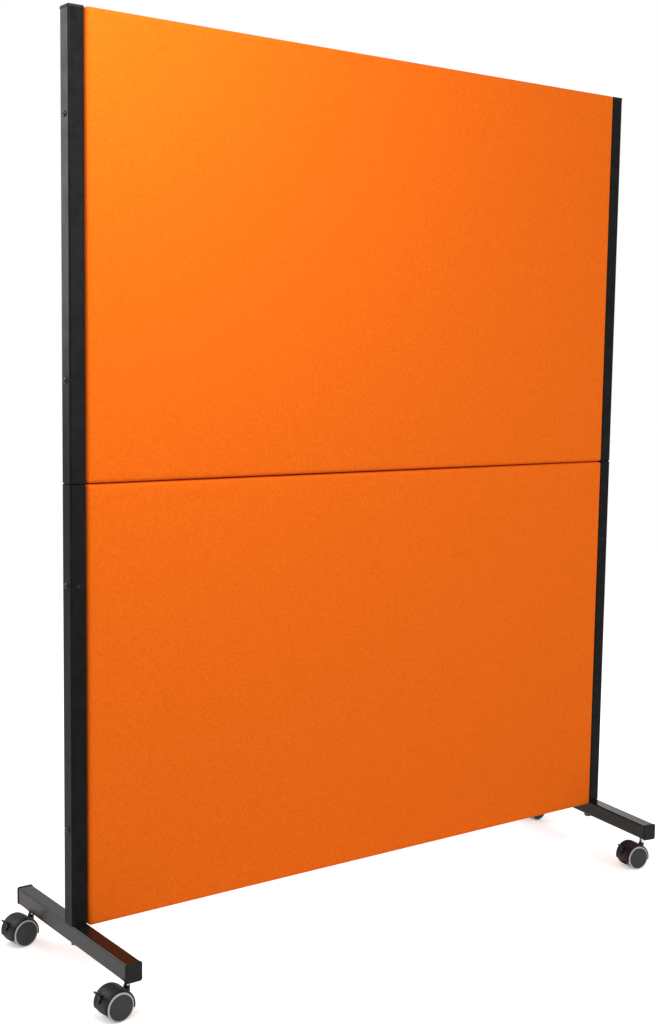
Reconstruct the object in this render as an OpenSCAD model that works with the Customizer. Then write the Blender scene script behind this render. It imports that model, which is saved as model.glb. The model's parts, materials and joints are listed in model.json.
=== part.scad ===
// Rolling partition: two upholstered panels, one above the other, bolted
// between two black tube posts. Each post stands on a foot of the same tube that
// runs front to back on two braked twin-wheel casters.
// X runs along the screen, the front looks towards -Y, Z is up. The floor is
// Z = 0, and the origin is under the middle of the whole object.

/* [Panels] */
// Width of one upholstered panel
panel_w = 1386; // [900:2:1600]
// Height of the lower panel
lower_panel_h = 859.5; // [500:0.5:1000]
// Height of the upper panel
upper_panel_h = 870; // [500:1:1000]
// Thickness of a panel at its crown
panel_t = 50; // [48:1:54]
// How far the padding swells from the panel's edge to its middle
panel_crown = 1.5; // [0.5:0.1:2.5]
// Radius of the padded edge
panel_edge_r = 8; // [7:0.5:9]
// How far the covered sides are drawn in between the corners
panel_draw_in = 0.4; // [0.1:0.1:0.8]
// Gap between a panel and the post beside it
side_gap = 3; // [2.5:0.5:5]
// How far the lower panel hangs below the level of the feet's top
panel_drop = 5.5; // [0:0.5:6]

/* [Posts] */
// Width of the post tube, along the screen
post_w = 32; // [30:1:40]
// Depth of the post tube, front to back
post_d = 35; // [30:1:50]
// Wall thickness of the post and foot tubes
tube_wall = 1.5; // [1.2:0.1:2]
// Outer corner radius of the tubes
tube_r = 3.5; // [3:0.5:4]
// Length of the sleeve that joins a post's two sections
joiner_l = 440; // [420:10:500]
// Open joint between a post's two sections
joint_gap = 2; // [0:0.5:3]
// Distance of each panel bolt from its panel's upper or lower edge
bolt_inset = 193; // [100:1:200]

/* [Feet] */
// Width of the foot tube
foot_w = 32; // [30:1:32]
// Height of the foot tube
foot_h = 35; // [30:1:36]
// Length of a foot over its end caps
foot_l = 468; // [400:2:600]
// Turn of the left foot about its bolt
left_foot_turn = 0; // [-9.5:0.1:9.5]
// Turn of the right foot about its bolt, front end inwards below 0
right_foot_turn = -8.5; // [-9.5:0.1:9.5]

/* [Casters] */
// Diameter of a caster wheel
wheel_dia = 55; // [54:0.5:56]
// Height from the floor to the underside of a foot
caster_h = 71; // [70:0.5:80]
// Distance from the swivel axis back to the axle
trail = 25.7; // [25:0.1:27]
// Distance from a foot's end to the swivel axis
caster_inset = 29; // [29:1:40]
// Turn of the left front caster about its stem, trailing straight to -X at 0
left_front_turn = 2.3; // [-12:0.1:12]
// Turn of the left back caster about its stem
left_back_turn = 7.3; // [-12:0.1:12]
// Turn of the right front caster about its stem
right_front_turn = -10.5; // [-12:0.1:12]
// Turn of the right back caster about its stem
right_back_turn = 0; // [-12:0.1:12]

/* [Hidden] */
$fn = 48;
SIDES = ["left", "right"];
ENDS = ["front", "back"];
LEVELS = ["lower", "upper"];

// heights
wheel_r = wheel_dia / 2;
foot_z = caster_h;
post_z = foot_z + foot_h;
panel_z = post_z - panel_drop;
seam_z = panel_z + lower_panel_h;
panel_top = seam_z + upper_panel_h;
panel_feet = [panel_z, seam_z];
panel_heights = [lower_panel_h, upper_panel_h];
cap_h = 5;
post_top = panel_top - cap_h;
cap_step = 1.5;
cap_plug_h = 14;

// places along the screen, from the screen's own middle
post_x = panel_w / 2 + side_gap + post_w / 2;
caster_y = foot_l / 2 - caster_inset;
feet_turn = [left_foot_turn, right_foot_turn];
casters_turn = [[left_front_turn, left_back_turn], [right_front_turn, right_back_turn]];
cap_lip = 1;

// tube insides, and the play of what slides or turns in a hole
slip = 0.2;
play = 0.3;
inner_post_w = post_w - 2 * tube_wall;
inner_post_d = post_d - 2 * tube_wall;
inner_foot_w = foot_w - 2 * tube_wall;
inner_foot_h = foot_h - 2 * tube_wall;

// panel build-up, as half thicknesses from the middle plane
frame_t2 = 13;
board_t2 = 16;
foam_t2 = 22;
edge_t2 = panel_t / 2 - panel_crown;
cover_side = 3;
foam_inset = 8;
frame_bar = 40;

// button-head panel bolts and their threaded inserts
bolt_r = 3;
bolt_hole_r = bolt_r + play;
bolt_head_r = 6;
bolt_head_h = 3.3;
bolt_rim_h = 0.6;
bolt_key_r = 2.3;
insert_r = 5;
insert_l = 22;
bolt_l = post_w + side_gap + cover_side + insert_l;
bolt_levels = [for (p = [0, 1], e = [bolt_inset, panel_heights[p] - bolt_inset])
               panel_feet[p] + e];

// set screw that locks each joiner, level with the lower panel's upper bolt
screw_r = 2.5;
screw_z = seam_z - bolt_inset;

// foot bolt from below into a threaded plug in the post
foot_bolt_r = 5;
foot_bolt_hole_r = foot_bolt_r + play;
foot_bolt_af = 17;
foot_bolt_head_h = 6.5;
foot_washer_r = 11;
foot_washer_t = 2;
plug_h = 25;
thread_spare = 2;

// foot end caps and the threaded sockets that hold the caster stems
foot_cap_t = 4;
foot_cap_step = 1;
foot_cap_plug = 9;
socket_l = 20;
stem_r = 4;

// caster: the web lies between the wheels, the cover arches over them
web_t2 = 7.7;
web_r = 30;
cover_in_r = 28.6;
cover_out_r = 31.6;
cover_flat = 15;
cover_t2 = 23.8;
cover_shoulder = 1.8;
cover_drop = 7;
neck_r = 6.1;
neck_z = 32;
neck_top = 55.5;
collar_r = 4.8;
journal_r = 3.95;
journal_bore_r = 4;
stem_foot_r = 4.6;
stem_foot_z = 38;
stem_foot_h = 2;

// wheel: dark rim with the running face and a raised disc, and a soft ring at its outer edge
wheel_in = 8.8;
wheel_out = 24.3;
ring_in = 19;
ring_in_r = 24.2;
ring_round = 1.6;
run_step = 0.3;
run_round = 1.2;
axle_r = 3;
rim_bore_r = 3.06;
rim_boss_r = 11.2;
rim_wall_r = 21.8;
disc_t = 3;
disc_rise = 1.5;
disc_edge = 0.7;
disc_crown = 1.1;
axle_l2 = 20.5;

// brake lever, as places from the axle in the caster's own plane
lever_pivot = [-13, 13];
lever_knee = [-30, 15.5];
lever_root = [-31.5, 26];
lever_tip = [-39, 29.8];
lever_bar = [-13, 4.2];
lever_bar_r = 2;
lever_bar_l2 = 14;
lever_pin_r = 2;
lever_pin_bore_r = 2.06;
lever_hub_r = 3.3;
lever_hub_t2 = 2.8;
lever_arm_t = 3.4;
lever_arm_t2 = 2.4;
lever_tab_t = 2.8;
lever_tab_t2 = 5;
lever_lip_r = 1.9;
lever_lip_t2 = 4.6;
lever_slot_t2 = 3.2;
lever_slot_x = [-40, -8.5];
lever_slot_z = [6.5, 21.2];
bar_pocket_x = [-19.5, -10.5];
bar_pocket_z = [1, 8.5];

// the origin is under the middle of the whole object's box
function tab_reach(turn) = (trail - lever_tip[0] + lever_lip_r) * cos(turn)
                           + lever_lip_t2 * abs(sin(turn));
left_reach = post_x + caster_y * abs(sin(left_foot_turn))
             + max([for (turn = casters_turn[0]) tab_reach(turn)]);
right_reach = post_x + (foot_l / 2 - foot_cap_step) * abs(sin(right_foot_turn))
              + (foot_w / 2 + cap_lip) * cos(right_foot_turn);
mid_x = (left_reach - right_reach) / 2;

function side_sign(i) = i == 0 ? -1 : 1;
function caster_place(side, end) =
    let (turn = feet_turn[side], d = side_sign(end) * caster_y)
    [side_sign(side) * post_x - d * sin(turn), d * cos(turn)];

FRAME_NODES = [
    for (s = SIDES, l = LEVELS) str(s, "_post_", l),
    for (s = SIDES) str(s, "_post_cap"),
    "post_joiners", "joiner_screws", "post_plugs",
    "foot_bolts", "panel_bolts", "panel_inserts"
];
PANEL_NODES = [for (l = LEVELS, p = ["frame", "infill", "boards", "foam", "cover"])
               str(l, "_panel_", p)];
FOOT_NODES = [for (s = SIDES, p = ["foot_tube", "foot_front_cap", "foot_back_cap",
                                   "caster_sockets", "caster_stems"])
              str(s, "_", p)];
CASTER_NODES = [for (s = SIDES, e = ENDS, p = ["hood", "axle", "front_rim", "front_tread",
                                               "back_rim", "back_tread", "brake_lever"])
                str(s, "_", e, "_", p)];

// ---- shared shapes ----

module rounded_rect(w, d, r) {
    square([w - 2 * r, d], center = true);
    square([w, d - 2 * r], center = true);
    for (x = [-1, 1], y = [-1, 1])
        translate([x * (w / 2 - r), y * (d / 2 - r)]) circle(r);
}

module tube(w, d, h) {
    linear_extrude(h) difference() {
        rounded_rect(w, d, tube_r);
        rounded_rect(w - 2 * tube_wall, d - 2 * tube_wall, tube_r - tube_wall);
    }
}

// cylinder along X from its start
module rod_x(r, l) {
    rotate([0, 90, 0]) cylinder(r = r, h = l);
}

// cylinder along Y, centred
module rod_y(r, l) {
    rotate([90, 0, 0]) cylinder(r = r, h = l, center = true);
}

// places a child drawn from the screen's own middle
module screen() {
    translate([mid_x, 0, 0]) children();
}

// runs a child at a post's axis, mirrored for the right post
module at_post(side) {
    screen() translate([side_sign(side) * post_x, 0, 0])
        mirror([side == 1 ? 1 : 0, 0, 0]) children();
}

// ---- posts ----

// holes for the panel bolts, cut straight through along X
module bolt_holes(r) {
    for (z = bolt_levels) translate([-post_w, 0, z]) rod_x(r, 2 * post_w);
}

module screw_hole(r) {
    translate([0, -post_d / 2, screw_z]) rod_y(r, 6 * tube_wall);
}

module post_section(z, h) {
    color("#202122") difference() {
        translate([0, 0, z]) tube(post_w, post_d, h);
        bolt_holes(bolt_hole_r);
        screw_hole(screw_r);
    }
}

module post_lower() {
    post_section(post_z, seam_z - joint_gap / 2 - post_z);
}

module post_upper() {
    post_section(seam_z + joint_gap / 2, post_top - seam_z - joint_gap / 2);
}

// tight sleeve inside both sections, held by the bolts next to the seam
module post_joiner() {
    color("#3a3b3c") difference() {
        translate([0, 0, seam_z - joiner_l / 2])
            tube(inner_post_w - slip, inner_post_d - slip, joiner_l);
        bolt_holes(bolt_hole_r);
        screw_hole(screw_r);
    }
}

module joiner_screw() {
    color("#3a3b3c") difference() {
        translate([0, -post_d / 2 + tube_wall + slip / 2, screw_z])
            rod_y(screw_r, 2 * tube_wall + slip);
        translate([0, -post_d / 2, screw_z]) rotate([90, 0, 0])
            cylinder(r = screw_r / 2, h = tube_wall, center = true, $fn = 6);
    }
}

// threaded plug in the post's foot end, flush with the end
module post_plug() {
    color("#8d9093") difference() {
        translate([0, 0, post_z]) linear_extrude(plug_h)
            rounded_rect(inner_post_w - slip, inner_post_d - slip, tube_r - tube_wall);
        translate([0, 0, post_z - 1]) cylinder(r = foot_bolt_r, h = plug_h + 2);
    }
}

module post_cap() {
    color("#2b2c2d") {
        translate([0, 0, post_top]) linear_extrude(cap_h - cap_step)
            rounded_rect(post_w + 2 * cap_lip, post_d + 2 * cap_lip, tube_r + cap_lip);
        translate([0, 0, post_top + cap_h - cap_step]) linear_extrude(cap_step)
            rounded_rect(post_w, post_d, tube_r);
        translate([0, 0, post_top - cap_plug_h]) linear_extrude(cap_plug_h)
            rounded_rect(inner_post_w - slip, inner_post_d - slip, tube_r - tube_wall);
    }
}

// ---- fasteners ----

// drawn at the left post: the head lies on the outer face, the shank runs to +X
module panel_bolt() {
    difference() {
        union() {
            rotate([0, -90, 0]) rotate_extrude() polygon([
                [0, 0], [bolt_head_r, 0], [bolt_head_r, bolt_rim_h],
                for (a = [25 : 15 : 85])
                    [bolt_head_r * cos(a), bolt_rim_h + (bolt_head_h - bolt_rim_h) * sin(a)],
                [0, bolt_head_h]]);
            rod_x(bolt_r, bolt_l - thread_spare);
        }
        translate([-bolt_head_h - 1, 0, 0]) rotate([0, 90, 0])
            cylinder(r = bolt_key_r, h = bolt_head_h, $fn = 6);
    }
}

module panel_bolts() {
    color("#3a3b3c") for (side = [0, 1], z = bolt_levels)
        at_post(side) translate([-post_w / 2, 0, z]) panel_bolt();
}

module panel_inserts() {
    color("#b79a55") for (side = [0, 1], z = bolt_levels)
        at_post(side) translate([post_w / 2 + side_gap + cover_side, 0, z])
            difference() {
                rod_x(insert_r, insert_l);
                translate([-1, 0, 0]) rod_x(bolt_r, insert_l + 2);
            }
}

// hexagon bolt with its washer face against the foot's underside
module foot_bolt() {
    color("#3a3b3c") {
        translate([0, 0, foot_z - foot_washer_t - foot_bolt_head_h])
            cylinder(r = foot_bolt_af / 2 / cos(30), h = foot_bolt_head_h, $fn = 6);
        translate([0, 0, foot_z - foot_washer_t])
            cylinder(r = foot_washer_r, h = foot_washer_t);
        translate([0, 0, foot_z - foot_washer_t])
            cylinder(r = foot_bolt_r, h = foot_washer_t + foot_h + plug_h - thread_spare);
    }
}

// ---- panels, drawn round their own middle ----

// half width and half height of the timber frame
frame_w2 = panel_w / 2 - cover_side;
function frame_h2(h) = h / 2 - cover_side;

// draws a child at the middle of the lower (0) or upper (1) panel
module at_panel(level) {
    screen() translate([0, 0, panel_feet[level] + panel_heights[level] / 2]) children();
}

// bores for the inserts and bolts in the panel's two side edges
module side_bores(h, r, l) {
    for (s = [-1, 1], z = [-1, 1])
        translate([s * (panel_w / 2 - l / 2), 0, z * (h / 2 - bolt_inset)])
            rotate([0, 90, 0]) cylinder(r = r, h = l + 2, center = true);
}

// two stiles, top and bottom rails and a middle rail, with butt joints
module panel_frame(h) {
    h2 = frame_h2(h);
    rail_l = 2 * (frame_w2 - frame_bar);
    color("#c9a878") difference() {
        union() {
            for (s = [-1, 1]) translate([s * (frame_w2 - frame_bar / 2), 0, 0])
                cube([frame_bar, 2 * frame_t2, 2 * h2], center = true);
            for (s = [-1, 0, 1]) translate([0, 0, s * (h2 - frame_bar / 2)])
                cube([rail_l, 2 * frame_t2, frame_bar], center = true);
        }
        side_bores(h, insert_r, cover_side + insert_l);
    }
}

// paper honeycomb between the rails
module panel_infill(h) {
    bay_h = frame_h2(h) - 1.5 * frame_bar;
    color("#b58f5c") for (s = [-1, 1])
        translate([0, 0, s * (bay_h + frame_bar) / 2])
            cube([2 * (frame_w2 - frame_bar), 2 * frame_t2, bay_h], center = true);
}

module facing_pair(h, t_in, t_out, inset) {
    for (s = [-1, 1]) translate([0, s * (t_in + t_out) / 2, 0])
        cube([panel_w - 2 * inset, t_out - t_in, h - 2 * inset], center = true);
}

module panel_boards(h) {
    color("#a77f4f") facing_pair(h, frame_t2, board_t2, cover_side);
}

module panel_foam(h) {
    color("#e9e2c8") facing_pair(h, board_t2, foam_t2, foam_inset);
}

// The cover's outer form. A face is a grid: close rows round the padded edge,
// wide rows over the crowned middle. A row is [place from -1 to 1, edge sine].
edge_rows = 4;
crown_rows = 14;
function edge_row(i, half) =
    let (a = 90 * i / edge_rows)
    [1 - panel_edge_r * (1 - cos(a)) / half, sin(a)];
function rows(half) =
    let (last = 1 - panel_edge_r / half)
    concat([for (i = [0 : edge_rows]) let (r = edge_row(i, half)) [-r[0], r[1]]],
           [for (i = [1 : crown_rows - 1]) [last * (2 * i / crown_rows - 1), 1]],
           [for (i = [edge_rows : -1 : 0]) edge_row(i, half)]);
function bulge(t) = 1 - t * t;
function cover_point(u, v, h, face) =
    [(panel_w / 2 - panel_draw_in * bulge(v[0])) * u[0],
     face * (edge_t2 + panel_crown * bulge(u[0]) * bulge(v[0])
             - panel_edge_r * (1 - u[1] * v[1])),
     (h / 2 - panel_draw_in * bulge(u[0])) * v[0]];

module cover_form(h) {
    us = rows(panel_w / 2);
    vs = rows(h / 2);
    n = len(us);
    front = [for (v = vs, u = us) cover_point(u, v, h, -1)];
    back = [for (v = vs, u = us) cover_point(u, v, h, 1)];
    far = n * n;
    rim = concat([for (i = [0 : n - 2]) i],
                 [for (i = [0 : n - 2]) i * n + n - 1],
                 [for (i = [n - 1 : -1 : 1]) (n - 1) * n + i],
                 [for (i = [n - 1 : -1 : 1]) i * n]);
    faces = concat(
        [for (j = [0 : n - 2], i = [0 : n - 2]) let (a = j * n + i)
            each [[a, a + n, a + n + 1], [a, a + n + 1, a + 1]]],
        [for (j = [0 : n - 2], i = [0 : n - 2]) let (a = far + j * n + i)
            each [[a, a + n + 1, a + n], [a, a + 1, a + n + 1]]],
        [for (k = [0 : len(rim) - 1])
            let (a = rim[k], b = rim[(k + 1) % len(rim)])
            each [[a, b, far + b], [a, far + b, far + a]]]);
    polyhedron(points = concat(front, back), faces = faces);
}

// fabric over thin wadding, closed round the foam, the boards and the frame
module panel_cover(h) {
    color("#ee7416") difference() {
        cover_form(h);
        cube([2 * frame_w2, 2 * board_t2, 2 * frame_h2(h)], center = true);
        cube([panel_w - 2 * foam_inset, 2 * foam_t2, h - 2 * foam_inset], center = true);
        side_bores(h, bolt_hole_r, cover_side);
    }
}

// ---- feet, drawn square and then turned about the foot bolt ----

module at_foot(side) {
    screen() translate([side_sign(side) * post_x, 0, 0])
        rotate([0, 0, feet_turn[side]]) children();
}

tube_l2 = foot_l / 2 - foot_cap_t;

module foot_tube() {
    color("#232425") difference() {
        translate([0, tube_l2, foot_z + foot_h / 2]) rotate([90, 0, 0])
            tube(foot_w, foot_h, 2 * tube_l2);
        translate([0, 0, foot_z - 1]) cylinder(r = foot_bolt_hole_r, h = foot_h + 2);
        for (y = [-1, 1]) translate([0, y * caster_y, foot_z - 1])
            cylinder(r = stem_r + play, h = foot_h / 2);
    }
}

// drawn for the front end: a lipped plate and a plug inside the tube
module foot_cap() {
    color("#2b2c2d") translate([0, -tube_l2, foot_z + foot_h / 2]) rotate([90, 0, 0]) {
        linear_extrude(foot_cap_t - foot_cap_step)
            rounded_rect(foot_w + 2 * cap_lip, foot_h + 2 * cap_lip, tube_r + cap_lip);
        translate([0, 0, foot_cap_t - foot_cap_step]) linear_extrude(foot_cap_step)
            rounded_rect(foot_w, foot_h, tube_r);
        translate([0, 0, -foot_cap_plug]) linear_extrude(foot_cap_plug)
            rounded_rect(inner_foot_w - slip, inner_foot_h - slip, tube_r - tube_wall);
    }
}

module foot_back_cap() {
    rotate([0, 0, 180]) foot_cap();
}

// threaded blocks inside the tube, one over each caster
module caster_sockets() {
    color("#8d9093") for (y = [-1, 1]) translate([0, y * caster_y, 0]) difference() {
        translate([0, 0, foot_z + foot_h / 2]) rotate([90, 0, 0])
            linear_extrude(socket_l, center = true)
                rounded_rect(inner_foot_w - slip, inner_foot_h - slip, tube_r - tube_wall);
        translate([0, 0, foot_z]) cylinder(r = stem_r, h = foot_h);
    }
}

// screwed up into the socket; the collar meets the foot, the journal carries the hood
module caster_stem() {
    translate([0, 0, stem_foot_z]) cylinder(r = stem_foot_r, h = stem_foot_h);
    translate([0, 0, stem_foot_z]) cylinder(r = journal_r, h = foot_z - stem_foot_z);
    translate([0, 0, neck_top + play]) cylinder(r = collar_r, h = foot_z - neck_top - play);
    translate([0, 0, foot_z]) cylinder(r = stem_r, h = foot_h - tube_wall - thread_spare);
}

module caster_stems() {
    color("#b9bcbf") for (y = [-1, 1]) translate([0, y * caster_y, 0]) caster_stem();
}

// ---- casters, drawn at the swivel axis and trailing towards -X ----

module at_caster(side, end) {
    p = caster_place(side, end);
    screen() translate([p[0], p[1], 0]) rotate([0, 0, casters_turn[side][end]]) children();
}

module at_axle() {
    translate([-trail, 0, wheel_r]) children();
}

// half of the arched cover's section, as [radius, distance from the middle]
function shoulder(a) = [cover_out_r - cover_shoulder * (1 - cos(a)),
                        cover_flat + (cover_t2 - cover_flat) * sin(a)];
cover_section = [
    [cover_in_r, -cover_t2], for (a = [90 : -15 : 0]) let (p = shoulder(a)) [p[0], -p[1]],
    for (a = [0 : 15 : 90]) shoulder(a), [cover_in_r, cover_t2]
];

module arched_cover() {
    difference() {
        rotate([90, 0, 0]) rotate_extrude($fn = 96) polygon(cover_section);
        translate([0, 0, -cover_out_r - cover_drop])
            cube([3 * cover_out_r, 3 * cover_t2, 2 * cover_out_r], center = true);
    }
}

// the web's underside is a smaller round, clear of the floor
module centre_web() {
    rod_y(rim_wall_r, 2 * web_t2);
    difference() {
        rod_y(web_r, 2 * web_t2);
        translate([0, 0, -web_r - cover_drop])
            cube([3 * web_r, 3 * web_t2, 2 * web_r], center = true);
    }
}

module middle_box(x, y2, z) {
    translate([x[0], -y2, z[0]]) cube([x[1] - x[0], 2 * y2, z[1] - z[0]]);
}

// slot that the lever stands in, and the pocket that its cross bar swings in
module lever_space() {
    middle_box(lever_slot_x, lever_slot_t2, lever_slot_z);
    middle_box(bar_pocket_x, web_t2 + 1, bar_pocket_z);
    translate([lever_pivot[0], 0, lever_pivot[1]]) rod_y(lever_pin_bore_r, 2 * web_t2 + 1);
}

module hood() {
    color("#2a2b2d") difference() {
        union() {
            at_axle() {
                arched_cover();
                centre_web();
            }
            translate([0, 0, neck_z]) cylinder(r = neck_r, h = neck_top - neck_z);
        }
        at_axle() {
            lever_space();
            rod_y(axle_r, 3 * cover_t2);
        }
        cylinder(r = journal_bore_r, h = neck_top + 1);
        cylinder(r = stem_foot_r + play, h = stem_foot_z + stem_foot_h + slip);
    }
}

module axle() {
    color("#b9bcbf") at_axle() rod_y(axle_r, 2 * axle_l2);
}

// wheel sections are [radius, distance from the caster's middle plane]
module wheel_ring(side, section) {
    at_axle() rotate([side * -90, 0, 0]) rotate_extrude($fn = 96) polygon(section);
}

// cup-shaped rim: domed and raised outer disc, running boss, wall and running face
module rim(side) {
    disc_in = wheel_out - disc_t;
    disc_out = wheel_out + disc_rise;
    run_r = wheel_r - run_step;
    disc_r = ring_in_r - disc_edge;
    color("#303235") wheel_ring(side, [
        [0, disc_in], [rim_bore_r, disc_in], [rim_bore_r, wheel_in], [rim_boss_r, wheel_in],
        [rim_boss_r, disc_in], [rim_wall_r, disc_in], [rim_wall_r, wheel_in],
        for (a = [0 : 15 : 90])
            [run_r - run_round * (1 - sin(a)), wheel_in + run_round * (1 - cos(a))],
        [run_r, ring_in], [ring_in_r, ring_in], [ring_in_r, disc_out - disc_edge],
        for (i = [6 : -1 : 0])
            [disc_r * i / 6, disc_out + disc_crown * (1 - pow(i / 6, 2))]]);
}

module tread(side) {
    mid = wheel_r - ring_round;
    color("#b4b6b4") wheel_ring(side, [
        [ring_in_r, ring_in], [wheel_r, ring_in],
        for (a = [90 : -15 : 0])
            [mid + ring_round * sin(a), wheel_out - ring_round * (1 - cos(a))],
        [ring_in_r, wheel_out]]);
}

// flat band of thickness t along a bent path, with mitred bends
function left_of(v) = [-v[1], v[0]] / norm(v);
function mitre(path, i) =
    let (last = len(path) - 1,
         a = left_of(path[max(i, 1)] - path[max(i, 1) - 1]),
         b = left_of(path[min(i + 1, last)] - path[min(i, last - 1)]))
    (a + b) / (1 + a * b);
module bent_band(path, t, t2) {
    last = len(path) - 1;
    rotate([90, 0, 0]) linear_extrude(2 * t2, center = true) polygon([
        for (i = [0 : last]) path[i] + mitre(path, i) * t / 2,
        for (i = [last : -1 : 0]) path[i] - mitre(path, i) * t / 2]);
}

// thumb tab outside, hub on its own pins, and the bar that grips both rims' bosses
module brake_lever() {
    tab_middle = (lever_root + lever_tip) / 2;
    color("#1d1e20") at_axle() {
        bent_band([lever_bar, lever_pivot], lever_arm_t, lever_arm_t2);
        bent_band([lever_pivot, lever_knee, lever_root, tab_middle], lever_arm_t, lever_arm_t2);
        bent_band([lever_root, lever_tip], lever_tab_t, lever_tab_t2);
        translate([lever_tip[0], 0, lever_tip[1]]) rod_y(lever_lip_r, 2 * lever_lip_t2);
        translate([lever_pivot[0], 0, lever_pivot[1]]) {
            rod_y(lever_hub_r, 2 * lever_hub_t2);
            rod_y(lever_pin_r, 2 * (web_t2 - play));
        }
        translate([lever_bar[0], 0, lever_bar[1]]) rod_y(lever_bar_r, 2 * lever_bar_l2);
    }
}

// ---- drawing ----

for (s = [0, 1]) {
    at_post(s) post_lower();
    at_post(s) post_upper();
    at_post(s) post_cap();
}
for (s = [0, 1]) at_post(s) post_joiner();  // post_joiners
for (s = [0, 1]) at_post(s) joiner_screw();  // joiner_screws
for (s = [0, 1]) at_post(s) post_plug();  // post_plugs
for (s = [0, 1]) at_post(s) foot_bolt();  // foot_bolts
panel_bolts();
panel_inserts();

for (l = [0, 1]) {
    at_panel(l) panel_frame(panel_heights[l]);
    at_panel(l) panel_infill(panel_heights[l]);
    at_panel(l) panel_boards(panel_heights[l]);
    at_panel(l) panel_foam(panel_heights[l]);
    at_panel(l) panel_cover(panel_heights[l]);
}

for (s = [0, 1]) {
    at_foot(s) foot_tube();
    at_foot(s) foot_cap();
    at_foot(s) foot_back_cap();
    at_foot(s) caster_sockets();
    at_foot(s) caster_stems();
}

for (s = [0, 1], e = [0, 1]) {
    caster = str(SIDES[s], "_", ENDS[e]);
    at_caster(s, e) hood();
    at_caster(s, e) axle();
    at_caster(s, e) rim(-1);
    at_caster(s, e) tread(-1);
    at_caster(s, e) rim(1);
    at_caster(s, e) tread(1);
    at_caster(s, e) brake_lever();
}
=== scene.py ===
import json
import math

import bpy
from mathutils import Euler, Matrix, Vector, noise


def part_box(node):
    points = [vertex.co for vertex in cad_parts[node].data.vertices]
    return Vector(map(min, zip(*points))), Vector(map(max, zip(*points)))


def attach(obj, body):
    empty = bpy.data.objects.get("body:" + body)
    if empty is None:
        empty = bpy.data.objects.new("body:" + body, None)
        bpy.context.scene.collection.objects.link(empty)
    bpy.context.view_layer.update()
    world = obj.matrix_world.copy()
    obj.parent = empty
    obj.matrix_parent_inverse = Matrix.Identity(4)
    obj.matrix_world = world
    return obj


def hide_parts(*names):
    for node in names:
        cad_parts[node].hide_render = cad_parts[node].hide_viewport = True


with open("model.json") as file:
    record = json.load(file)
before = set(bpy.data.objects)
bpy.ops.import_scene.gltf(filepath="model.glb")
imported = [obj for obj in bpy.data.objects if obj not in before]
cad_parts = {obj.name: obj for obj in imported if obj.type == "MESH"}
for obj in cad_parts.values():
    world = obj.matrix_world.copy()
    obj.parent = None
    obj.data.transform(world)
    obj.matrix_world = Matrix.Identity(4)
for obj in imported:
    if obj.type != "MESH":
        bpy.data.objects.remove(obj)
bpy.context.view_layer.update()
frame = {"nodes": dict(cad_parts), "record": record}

scene = bpy.context.scene


# ---------------------------------------------------------------- camera

# Fitted to points measured in the photograph. Lengths in metres, angles in degrees.
CAMERA_PLACE = (-1.9216, -2.4549, 1.2007)
CAMERA_AZIMUTH = 36.46
CAMERA_PITCH = 6.079
CAMERA_ROLL = 0.821
CAMERA_LENS_MM = 50.70
SENSOR_WIDTH_MM = 36.0
FARTHEST_SEEN = 60.0


def add_camera():
    data = bpy.data.cameras.new("camera")
    data.lens = CAMERA_LENS_MM
    data.sensor_width = SENSOR_WIDTH_MM
    data.clip_end = FARTHEST_SEEN
    cam = bpy.data.objects.new("camera", data)
    scene.collection.objects.link(cam)
    turn = Euler((math.radians(90 - CAMERA_PITCH), 0, math.radians(-CAMERA_AZIMUTH))).to_matrix()
    turn = turn @ Matrix.Rotation(math.radians(CAMERA_ROLL), 3, "Z")
    cam.location = CAMERA_PLACE
    cam.rotation_euler = turn.to_euler()
    scene.camera = cam


# ---------------------------------------------------------------- shader nodes


def feed(tree, given, socket):
    """Link an output to an input, or set the input to a plain value."""
    if isinstance(given, bpy.types.NodeSocket):
        tree.links.new(given, socket)
    else:
        socket.default_value = given


def add_node(tree, kind, inputs, **settings):
    """A shader node: its settings first, then each input linked or set by its label."""
    node = tree.nodes.new(kind)
    for label, value in settings.items():
        setattr(node, label, value)
    for label, given in inputs.items():
        feed(tree, given, node.inputs[label])
    return node


def add_math(tree, operation, *terms):
    node = add_node(tree, "ShaderNodeMath", dict(enumerate(terms)), operation=operation)
    return node.outputs[0]


def seen_directly(tree):
    """1 for a ray from the camera, a mirror reflection or a refraction, else 0."""
    path = tree.nodes.new("ShaderNodeLightPath").outputs
    seen = add_math(tree, "MAXIMUM", path["Is Camera Ray"], path["Is Glossy Ray"])
    return add_math(tree, "MAXIMUM", seen, path["Is Transmission Ray"])


# ---------------------------------------------------------------- light and floor

WHITE = (1.0, 1.0, 1.0)
SKY_TINT = (0.97, 0.98, 1.0)
SKY_STRENGTH = 0.70
FLOOR_SIZE = 40
FLOOR_PAPER = (0.86, 0.86, 0.86)
FLOOR_LIFT = 0.42

# Rectangular lamps: where each stands, what it aims at, its two sides and its power.
LAMPS = {
    "key": {
        "place": (-0.92, -0.80, 2.16),
        "aim": (-0.6, 0, 1.7),
        "size": (0.6, 0.6),
        "power": 18,
        "tint": (1.0, 0.98, 0.94),
    },
    "left_back": {
        "place": (-1.9, 2.4, 2.05),
        "aim": (-0.7, 0, 1.4),
        "size": (1.1, 1.7),
        "power": 36,
        "tint": WHITE,
    },
    "right_back": {
        "place": (2.4, 2.6, 2.2),
        "aim": (0, 0, 0.9),
        "size": (1.8, 1.8),
        "power": 30,
        "tint": WHITE,
    },
    "front_right": {
        "place": (1.1, -3.7, 1.6),
        "aim": (-0.4, 0, 1.2),
        "size": (0.9, 1.5),
        "power": 36,
        "tint": WHITE,
    },
}


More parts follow.
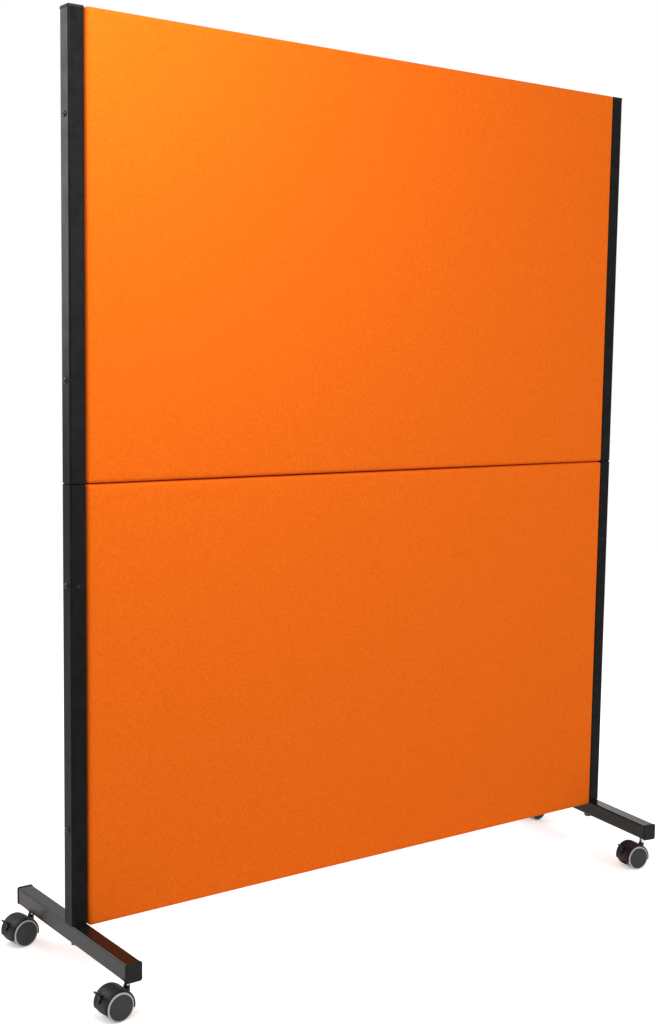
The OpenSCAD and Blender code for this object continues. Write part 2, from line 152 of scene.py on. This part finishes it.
def add_lamp(name, place, aim, size, power, tint):
    data = bpy.data.lights.new(name, "AREA")
    data.shape = "RECTANGLE"
    data.size, data.size_y = size
    data.energy = power
    data.color = tint
    lamp = bpy.data.objects.new(name, data)
    scene.collection.objects.link(lamp)
    lamp.location = place
    lamp.rotation_euler = (Vector(aim) - Vector(place)).to_track_quat("-Z", "Y").to_euler()


def add_world():
    """A dim, cool light from all round, and plain white where a ray sees the world itself."""
    world = bpy.data.worlds.new("studio")
    scene.world = world
    world.use_nodes = True
    tree = world.node_tree
    tree.nodes.clear()
    sky = add_node(tree, "ShaderNodeBackground", {"Color": (*SKY_TINT, 1), "Strength": SKY_STRENGTH})
    backdrop = add_node(tree, "ShaderNodeBackground", {"Color": (*WHITE, 1), "Strength": 1.0})
    mix = add_node(
        tree,
        "ShaderNodeMixShader",
        {"Fac": seen_directly(tree), 1: sky.outputs[0], 2: backdrop.outputs[0]},
    )
    add_node(tree, "ShaderNodeOutputWorld", {"Surface": mix.outputs[0]})


def add_floor():
    """Pale paper that takes the shadow, lifted to white where a ray sees it."""
    bpy.ops.object.select_all(action="DESELECT")
    bpy.ops.mesh.primitive_plane_add(size=FLOOR_SIZE, location=(0, 0, 0))
    floor = bpy.context.object
    floor.name = "studio_floor"
    mat = bpy.data.materials.new("studio_floor")
    mat.use_nodes = True
    tree = mat.node_tree
    tree.nodes.clear()
    paper = add_node(tree, "ShaderNodeBsdfDiffuse", {"Color": (*FLOOR_PAPER, 1)})
    lift = add_math(tree, "MULTIPLY", seen_directly(tree), FLOOR_LIFT)
    glow = add_node(tree, "ShaderNodeEmission", {"Color": (*WHITE, 1), "Strength": lift})
    both = add_node(tree, "ShaderNodeAddShader", {0: paper.outputs[0], 1: glow.outputs[0]})
    add_node(tree, "ShaderNodeOutputMaterial", {"Surface": both.outputs[0]})
    floor.data.materials.append(mat)


# ---------------------------------------------------------------- shared texture groups

# The part of a noise's range that carries most of it, spread to the full range.
SPECKLE_SPAN = (0.3, 0.7)
CURL_SPAN = (0.32, 0.68)
# How much of the cloth's relief is grain, and how much is thread.
GRAIN_SHARE = 0.8


def new_group(name, values, results):
    """A node group that takes a place and named values, with what it is given and its end."""
    group = bpy.data.node_groups.new(name, "ShaderNodeTree")
    sockets = group.interface
    sockets.new_socket(name="Vector", in_out="INPUT", socket_type="NodeSocketVector")
    for label, value in values.items():
        kind = "NodeSocketFloat" if isinstance(value, float) else "NodeSocketVector"
        sockets.new_socket(name=label, in_out="INPUT", socket_type=kind).default_value = value
    for label in results:
        sockets.new_socket(name=label, in_out="OUTPUT", socket_type="NodeSocketFloat")
    given = group.nodes.new("NodeGroupInput").outputs
    return group, given, group.nodes.new("NodeGroupOutput").inputs


def speckle_group():
    """A soft random value between Low and High, for tone and roughness."""
    group, given, end = new_group("speckle", {"Scale": 100.0, "Low": 0.0, "High": 1.0}, ["Value"])
    patches = add_node(
        group,
        "ShaderNodeTexNoise",
        {"Vector": given["Vector"], "Scale": given["Scale"], "Detail": 3.0, "Roughness": 0.55},
    )
    spread = add_node(
        group,
        "ShaderNodeMapRange",
        {
            "Value": patches.outputs["Fac"],
            "From Min": SPECKLE_SPAN[0],
            "From Max": SPECKLE_SPAN[1],
            "To Min": given["Low"],
            "To Max": given["High"],
        },
    )
    feed(group, spread.outputs["Result"], end["Value"])
    return group


def pebble_group():
    """Rounded grains over a fine noise: moulded plastic, powder coat, foam."""
    group, given, end = new_group("pebble", {"Scale": 900.0, "Grain": 0.5}, ["Height"])
    at = {"Vector": given["Vector"], "Scale": given["Scale"]}
    cells = add_node(group, "ShaderNodeTexVoronoi", {**at, "Smoothness": 0.8}, feature="SMOOTH_F1")
    fine = add_node(group, "ShaderNodeTexNoise", {**at, "Detail": 2.0})
    mix = add_node(
        group,
        "ShaderNodeMix",
        {"Factor": given["Grain"], "A": cells.outputs["Distance"], "B": fine.outputs["Fac"]},
        data_type="FLOAT",
    )
    feed(group, mix.outputs["Result"], end["Height"])
    return group


def thread_wave(tree, place, threads):
    """A wave from -1 to 1 along one axis, with one full turn for each thread."""
    turns = add_math(tree, "MULTIPLY", place, threads)
    return add_math(tree, "SINE", add_math(tree, "MULTIPLY", turns, 2 * math.pi))


def weave_group():
    """Crepe cloth: curled grains of a few millimetres over fine crossing threads. Its painted shade
    is its height, so the cloth is darker in its hollows.
    """
    group, given, end = new_group(
        "weave",
        {"Grains per metre": 240.0, "Threads per metre": 900.0},
        ["Tone", "Height"],
    )
    curl = add_node(
        group,
        "ShaderNodeTexNoise",
        {
            "Vector": given["Vector"],
            "Scale": given["Grains per metre"],
            "Detail": 3.0,
            "Roughness": 0.65,
            "Distortion": 1.2,
        },
    )
    grains = add_node(
        group,
        "ShaderNodeMapRange",
        {"Value": curl.outputs["Fac"], "From Min": CURL_SPAN[0], "From Max": CURL_SPAN[1]},
    )
    axes = add_node(group, "ShaderNodeSeparateXYZ", {0: given["Vector"]}).outputs
    across = thread_wave(group, axes["X"], given["Threads per metre"])
    upward = thread_wave(group, axes["Z"], given["Threads per metre"])
    # Half their product, about a half: from 0 to 1.
    threads = add_math(group, "MULTIPLY_ADD", add_math(group, "MULTIPLY", across, 0.5), upward, 0.5)
    height = add_node(
        group,
        "ShaderNodeMix",
        {"Factor": GRAIN_SHARE, "A": threads, "B": grains.outputs["Result"]},
        data_type="FLOAT",
    )
    feed(group, height.outputs["Result"], end["Height"])
    # The height again, as painted shade: darker in the hollows of the weave.
    feed(group, height.outputs["Result"], end["Tone"])
    return group


def streak_group():
    """Fine lines along one axis, for drawn steel and timber."""
    group, given, end = new_group("streaks", {"Scale": 60.0, "Stretch": (1.0, 1.0, 0.04)}, ["Value"])
    stretched = add_node(
        group,
        "ShaderNodeVectorMath",
        {0: given["Vector"], 1: given["Stretch"]},
        operation="MULTIPLY",
    )
    lines = add_node(
        group,
        "ShaderNodeTexNoise",
        {
            "Vector": stretched.outputs["Vector"],
            "Scale": given["Scale"],
            "Detail": 4.0,
            "Distortion": 0.3,
        },
    )
    feed(group, lines.outputs["Fac"], end["Value"])
    return group


SPECKLE = speckle_group()
PEBBLE = pebble_group()
WEAVE = weave_group()
STREAKS = streak_group()


# ---------------------------------------------------------------- materials


class Finish:
    """One material with its Principled shader, and short calls that wire a texture to it."""

    def __init__(self, name, **plain):
        self.mat = bpy.data.materials.new(name)
        self.mat.use_nodes = True
        self.tree = self.mat.node_tree
        self.shader = self.tree.nodes["Principled BSDF"]
        self.place = self.tree.nodes.new("ShaderNodeTexCoord").outputs["Object"]
        for label, value in plain.items():
            self.shader.inputs[label.replace("_", " ")].default_value = value

    def texture(self, group, **values):
        """A texture group in this material, with its own values."""
        inputs = {"Vector": self.place, **values}
        return add_node(self.tree, "ShaderNodeGroup", inputs, node_tree=group).outputs

    def two_tone(self, value, dark, light):
        inputs = {"A": (*dark, 1), "B": (*light, 1), "Factor": value}
        mix = add_node(self.tree, "ShaderNodeMix", inputs, data_type="RGBA")
        feed(self.tree, mix.outputs["Result"], self.shader.inputs["Base Color"])

    def rough(self, scale, low, high):
        patches = self.texture(SPECKLE, Scale=scale, Low=low, High=high)
        feed(self.tree, patches["Value"], self.shader.inputs["Roughness"])

    def bump(self, height, strength, distance):
        inputs = {"Strength": strength, "Distance": distance, "Height": height}
        node = add_node(self.tree, "ShaderNodeBump", inputs)
        feed(self.tree, node.outputs["Normal"], self.shader.inputs["Normal"])


# Noise scales, as cells in a metre.
COAT_TONE_SCALE = 45.0
COAT_GLOSS_SCALE = 28.0
METAL_LINE_SCALE = 180.0
METAL_GLOSS_SCALE = 90.0
TIMBER_LINE_SCALE = 70.0
TIMBER_GLOSS_SCALE = 60.0
PORE_GLOSS_SCALE = 40.0
CLOTH_GLOSS_SCALE = 300.0

# How far texture streaks run along each axis: the smaller the value, the longer the line.
ALONG_X = (0.1, 1, 1)
TURNED_ON_X = (1, 0.1, 0.1)
DRAWN_ALONG_Z = (1, 1, 0.04)
GRAIN_ALONG_Z = (1, 1, 0.05)
NO_GRAIN = (1, 1, 1)


def coated(name, dark, light, rough, grain_scale=700.0, depth=0.00006, specular=0.35):
    """Powder coat or moulded plastic: two close tones, patchy gloss and a pebbled skin."""
    f = Finish(name, Specular_IOR_Level=specular)
    f.two_tone(f.texture(SPECKLE, Scale=COAT_TONE_SCALE)["Value"], dark, light)
    f.rough(COAT_GLOSS_SCALE, *rough)
    f.bump(f.texture(PEBBLE, Scale=grain_scale, Grain=0.5)["Height"], 0.5, depth)
    return f.mat


def bare_metal(name, dark, light, rough, stretch):
    """Drawn or turned metal, with fine lines in its tone and its relief."""
    f = Finish(name, Metallic=1.0)
    lines = f.texture(STREAKS, Scale=METAL_LINE_SCALE, Stretch=stretch)["Value"]
    f.two_tone(lines, dark, light)
    f.rough(METAL_GLOSS_SCALE, *rough)
    f.bump(lines, strength=0.3, distance=0.00003)
    return f.mat


def timber(name, dark, light, stretch):
    """Raw timber or board, with its grain in tone and relief."""
    f = Finish(name)
    lines = f.texture(STREAKS, Scale=TIMBER_LINE_SCALE, Stretch=stretch)["Value"]
    f.two_tone(lines, dark, light)
    f.rough(TIMBER_GLOSS_SCALE, low=0.5, high=0.7)
    f.bump(lines, strength=0.4, distance=0.0002)
    return f.mat


def porous(name, dark, light, rough, scale, depth):
    """Foam or paper honeycomb: a pale matt face, darker in the hollows of its pores as painted
    shade.
    """
    f = Finish(name, Specular_IOR_Level=0.2)
    pores = f.texture(PEBBLE, Scale=scale, Grain=0.3)["Height"]
    # The tone follows the relief: darker in the pores' hollows, as painted shade.
    f.two_tone(pores, dark, light)
    f.rough(PORE_GLOSS_SCALE, *rough)
    f.bump(pores, strength=0.6, distance=depth)
    return f.mat


def panel_cloth():
    """Orange crepe with a faint warm sheen."""
    f = Finish(
        "orange_cloth",
        Specular_IOR_Level=0.05,
        Sheen_Weight=0.03,
        Sheen_Roughness=0.6,
        Sheen_Tint=(1.0, 0.6, 0.25, 1),
    )
    weave = f.texture(WEAVE)
    # The cloth's colour is darker in the weave's hollows: painted shade.
    f.two_tone(weave["Tone"], dark=(0.655, 0.099, 0.0040), light=(0.832, 0.154, 0.0074))
    f.rough(CLOTH_GLOSS_SCALE, low=0.85, high=0.97)
    f.bump(weave["Height"], strength=0.5, distance=0.0009)
    return f.mat


MATERIALS = {
    "post_tube": coated(
        "black_powder_coat",
        dark=(0.0055, 0.0055, 0.0058),
        light=(0.010, 0.010, 0.0102),
        rough=(0.30, 0.40),
        specular=0.045,
    ),
    "foot_tube": coated(
        "black_powder_coat_foot",
        dark=(0.0065, 0.0065, 0.005),
        light=(0.011, 0.011, 0.009),
        rough=(0.19, 0.27),
        depth=0.00003,
        specular=0.17,
    ),
    "end_cap": coated(
        "black_cap_plastic",
        dark=(0.013, 0.014, 0.0135),
        light=(0.020, 0.021, 0.0205),
        rough=(0.5, 0.62),
        grain_scale=900.0,
        specular=0.08,
    ),
    "black_fastener": coated(
        "black_zinc",
        dark=(0.006, 0.006, 0.006),
        light=(0.012, 0.012, 0.0125),
        rough=(0.32, 0.45),
        grain_scale=1500.0,
        depth=0.00002,
        specular=0.3,
    ),
    "caster_cover": coated(
        "caster_nylon",
        dark=(0.009, 0.009, 0.011),
        light=(0.016, 0.016, 0.020),
        rough=(0.42, 0.55),
        grain_scale=1100.0,
        specular=0.13,
    ),
    "brake_lever": coated(
        "lever_nylon",
        dark=(0.007, 0.007, 0.008),
        light=(0.012, 0.012, 0.013),
        rough=(0.42, 0.55),
        grain_scale=1100.0,
        specular=0.2,
    ),
    "wheel_disc": coated(
        "wheel_disc_nylon",
        dark=(0.024, 0.026, 0.0265),
        light=(0.034, 0.037, 0.0375),
        rough=(0.46, 0.6),
        grain_scale=1200.0,
        specular=0.2,
    ),
    "wheel_tread": coated(
        "soft_ring",
        dark=(0.38, 0.385, 0.375),
        light=(0.47, 0.475, 0.465),
        rough=(0.6, 0.78),
        grain_scale=800.0,
        depth=0.00008,
    ),
    "inner_steel": bare_metal(
        "plain_steel",
        dark=(0.36, 0.36, 0.37),
        light=(0.5, 0.5, 0.51),
        rough=(0.35, 0.5),
        stretch=DRAWN_ALONG_Z,
    ),
    "bright_steel": bare_metal(
        "bright_zinc",
        dark=(0.5, 0.51, 0.52),
        light=(0.68, 0.69, 0.70),
        rough=(0.22, 0.34),
        stretch=ALONG_X,
    ),
    "insert_brass": bare_metal(
        "turned_brass",
        dark=(0.5, 0.36, 0.14),
        light=(0.68, 0.52, 0.24),
        rough=(0.25, 0.4),
        stretch=TURNED_ON_X,
    ),
    "frame_timber": timber(
        "softwood",
        dark=(0.5, 0.34, 0.17),
        light=(0.7, 0.53, 0.32),
        stretch=GRAIN_ALONG_Z,
    ),
    "fibreboard": timber(
        "fibreboard",
        dark=(0.27, 0.18, 0.1),
        light=(0.37, 0.26, 0.16),
        stretch=NO_GRAIN,
    ),
    "honeycomb": porous(
        "kraft_honeycomb",
        dark=(0.24, 0.16, 0.08),
        light=(0.46, 0.33, 0.19),
        rough=(0.75, 0.9),
        scale=120.0,
        depth=0.002,
    ),
    "foam_pad": porous(
        "open_foam",
        dark=(0.6, 0.57, 0.45),
        light=(0.8, 0.77, 0.66),
        rough=(0.8, 0.95),
        scale=700.0,
        depth=0.0006,
    ),
    "panel_fabric": panel_cloth(),
}

# Nodes whose finish isn't their material slot's own. The post joiners' sleeve is near black with
# almost no gloss, as painted shade in the open joint between a post's two sections.
PAINTED_SHADE_FINISH = {
    "post_joiners": coated(
        "joint_sleeve_painted_shade",
        dark=(0.002, 0.002, 0.002),
        light=(0.0035, 0.0035, 0.0035),
        rough=(0.7, 0.85),
        specular=0.01,
    ),
}


def dress_cad_nodes():
    for row in frame["record"]["subparts"]:
        finish = PAINTED_SHADE_FINISH.get(row["node"], MATERIALS[row["material_slot"]])
        for slot in frame["nodes"][row["node"]].material_slots:
            slot.material = finish


# ---------------------------------------------------------------- upholstered panels

EDGE_RADIUS = 0.008
EDGE_SEGMENTS = 4
# The faces start this far inside the CAD cover's, which leaves room for their swell.
FACE_INSET = 0.0014
COLUMNS = 56
ROWS = 36
SIDE_CUTS = (-0.008, 0.0, 0.008)

# The cloth is held on the frame in this narrow band along the outline.
HELD_BAND = EDGE_RADIUS * 0.2
SWELL = 0.0016
CLOTH_STEPS = 20
CLOTH = {
    "quality": 5,
    "mass": 0.4,
    "tension_stiffness": 20,
    "compression_stiffness": 20,
    "bending_stiffness": 1.5,
    "use_pressure": True,
    "uniform_pressure_force": 1.0,
    "vertex_group_mass": "held",
}

CORNER_POWER = 6
DRAW_IN = 0.0005
SEAM_STEP = 0.0011
# A point belongs to the seam's edge beyond this share of the half height.
SEAM_EDGE = 0.98
# A point farther than this from the middle plane lies on the front or the back.
FACE_DEPTH = 0.012
UNEVENNESS = 0.00025
UNEVEN_SCALE = 5
UNEVEN_SCALE_DEPTH = 40


def deselect():
    if bpy.context.mode != "OBJECT":
        bpy.ops.object.mode_set(mode="OBJECT")
    bpy.ops.object.select_all(action="DESELECT")


def bisect_at(place, normal):
    bpy.ops.mesh.select_all(action="SELECT")
    bpy.ops.mesh.bisect(plane_co=place, plane_no=normal)


def panel_body(name, low, high):
    """A board with padded, rounded edges, cut into an even grid for the cloth."""
    middle = (low + high) / 2
    size = high - low
    deselect()
    bpy.ops.mesh.primitive_cube_add(size=1, location=middle)
    piece = bpy.context.object
    piece.name = name
    piece.scale = size
    bpy.ops.object.transform_apply(location=True, rotation=True, scale=True)
    bpy.ops.object.mode_set(mode="EDIT")
    bpy.ops.mesh.select_all(action="SELECT")
    bpy.ops.mesh.bevel(offset=EDGE_RADIUS, segments=EDGE_SEGMENTS, profile=0.5, affect="EDGES")
    for k in range(1, COLUMNS):
        x = low.x + EDGE_RADIUS + (size.x - 2 * EDGE_RADIUS) * k / COLUMNS
        bisect_at((x, 0, 0), (1, 0, 0))
    for k in range(1, ROWS):
        z = low.z + EDGE_RADIUS + (size.z - 2 * EDGE_RADIUS) * k / ROWS
        bisect_at((0, 0, z), (0, 0, 1))
    for y in SIDE_CUTS:
        bisect_at((0, y, 0), (0, 1, 0))
    bpy.ops.object.mode_set(mode="OBJECT")
    return piece


def swell(piece, low, high):
    """Pressure in a closed cloth, held along the frame, then eased to the padding's real swell."""
    held = piece.vertex_groups.new(name="held")
    rest = [v.co.copy() for v in piece.data.vertices]
    on_frame = [
        v.index
        for v in piece.data.vertices
        if min(v.co.x - low.x, high.x - v.co.x, v.co.z - low.z, high.z - v.co.z) < HELD_BAND
    ]
    held.add(on_frame, 1.0, "REPLACE")
    cloth = piece.modifiers.new("cloth", "CLOTH")
    for label, value in CLOTH.items():
        setattr(cloth.settings, label, value)
    cloth.settings.effector_weights.gravity = 0
    cloth.point_cache.frame_start = 1
    cloth.point_cache.frame_end = CLOTH_STEPS
    for step in range(1, CLOTH_STEPS + 1):
        scene.frame_set(step)
    bpy.context.view_layer.update()
    shape = piece.evaluated_get(bpy.context.evaluated_depsgraph_get()).data
    moved = [v.co.copy() - r for v, r in zip(shape.vertices, rest)]
    piece.modifiers.remove(cloth)
    piece.vertex_groups.clear()
    scene.frame_set(1)
    reach = max(m.length for m in moved)
    ease = min(1.0, SWELL / reach) if reach > 0 else 0.0
    for v, r, m in zip(piece.data.vertices, rest, moved):
        v.co = r + m * ease


def corner_pull(out_x, out_z):
    """How many times farther out a rounded corner's point lies on a nearly square one."""
    square = (out_x**CORNER_POWER + out_z**CORNER_POWER) ** (1 / CORNER_POWER)
    return math.hypot(out_x, out_z) / square


def settle(piece, low, high, seam_side):
    """Squares the corners, draws the sides in, steps the faces in at the seam, adds unevenness."""
    middle = (low + high) / 2
    half = (high - low) / 2
    turn_x = half.x - EDGE_RADIUS
    turn_z = half.z - EDGE_RADIUS
    for v in piece.data.vertices:
        out_x = abs(v.co.x - middle.x) - turn_x
        out_z = abs(v.co.z - middle.z) - turn_z
        if out_x > 0 and out_z > 0:
            pull = corner_pull(out_x, out_z)
            v.co.x = middle.x + math.copysign(turn_x + out_x * pull, v.co.x - middle.x)
            v.co.z = middle.z + math.copysign(turn_z + out_z * pull, v.co.z - middle.z)
        u = (v.co.x - middle.x) / half.x
        w = (v.co.z - middle.z) / half.z
        v.co.x -= u * DRAW_IN * (1 - w * w)
        v.co.z -= w * DRAW_IN * (1 - u * u)
        if abs(v.co.y) > FACE_DEPTH:
            if w * seam_side > SEAM_EDGE:
                v.co.z -= seam_side * SEAM_STEP
            place = (v.co.x * UNEVEN_SCALE, v.co.y * UNEVEN_SCALE_DEPTH, v.co.z * UNEVEN_SCALE)
            v.co.y += UNEVENNESS * noise.noise(Vector(place))


def upholster(level, seam_side):
    """A padded cover over one panel. The seam is above it (1) or below it (-1)."""
    node = level + "_panel_cover"
    low, high = (Vector(c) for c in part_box(node))
    low.y += FACE_INSET
    high.y -= FACE_INSET
    piece = panel_body(level + "_panel_fabric", low, high)
    swell(piece, low, high)
    settle(piece, low, high, seam_side)
    finer = piece.modifiers.new("finer", "SUBSURF")
    finer.levels = finer.render_levels = 1
    deselect()
    piece.select_set(True)
    bpy.context.view_layer.objects.active = piece
    bpy.ops.object.modifier_apply(modifier="finer")
    bpy.ops.object.shade_smooth()
    piece.data.materials.append(MATERIALS["panel_fabric"])
    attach(piece, "screen")
    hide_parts(node)


# ---------------------------------------------------------------- the scene

scene.view_settings.view_transform = "Standard"
add_camera()
add_world()
for lamp_name, lamp_values in LAMPS.items():
    add_lamp(lamp_name, **lamp_values)
add_floor()
dress_cad_nodes()
upholster("lower", seam_side=1)
upholster("upper", seam_side=-1)
